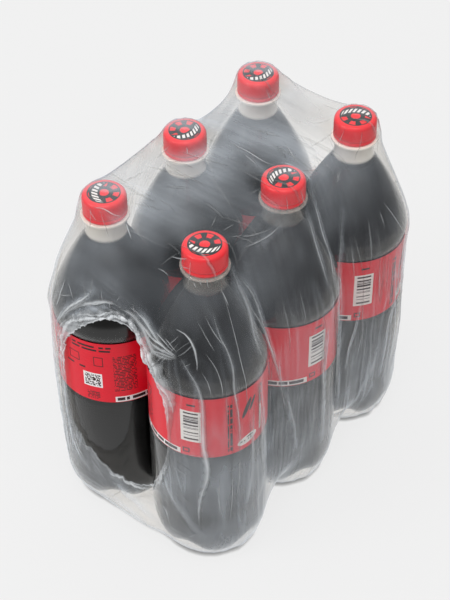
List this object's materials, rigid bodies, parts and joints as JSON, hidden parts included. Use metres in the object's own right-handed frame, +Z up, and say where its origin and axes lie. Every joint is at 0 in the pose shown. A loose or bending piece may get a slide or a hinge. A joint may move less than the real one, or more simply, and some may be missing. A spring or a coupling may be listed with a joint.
{
  "type": "six pack of soda bottles",
  "caption": "Shrink-wrapped pack of clear soda bottles with dark drink, red wrap labels and red screw caps; the clear film sleeve has a round hand opening at each short end.",
  "frame": {"origin": "bottom centre of the pack, on the surface that it stands on", "axes": "+Z up along the bottles, +Y along the long side of the pack, +X along its short side"},
  "size_m": [0.1728, 0.257, 0.2767],
  "materials": {
    "bottle_shell": "clear blow-moulded polyester, glossy",
    "drink": "near-black liquid, clear and still",
    "label_film": "printed wrap film, satin red",
    "cap_plastic": "moulded polyethylene, satin red",
    "shrink_film": "hazy clear polyethylene shrink film, creased"
  },
  "bodies": {
    "root": {"bottle_1": "bottle_shell", "bottle_2": "bottle_shell", "bottle_3": "bottle_shell", "bottle_4": "bottle_shell", "bottle_5": "bottle_shell", "bottle_6": "bottle_shell", "drink_1": "drink", "drink_2": "drink", "drink_3": "drink", "drink_4": "drink", "drink_5": "drink", "drink_6": "drink", "label_1": "label_film", "label_2": "label_film", "label_3": "label_film", "label_4": "label_film", "label_5": "label_film", "label_6": "label_film", "cap_1": "cap_plastic", "cap_2": "cap_plastic", "cap_3": "cap_plastic", "cap_4": "cap_plastic", "cap_5": "cap_plastic", "cap_6": "cap_plastic", "film": "shrink_film"}
  },
  "joints": []
}
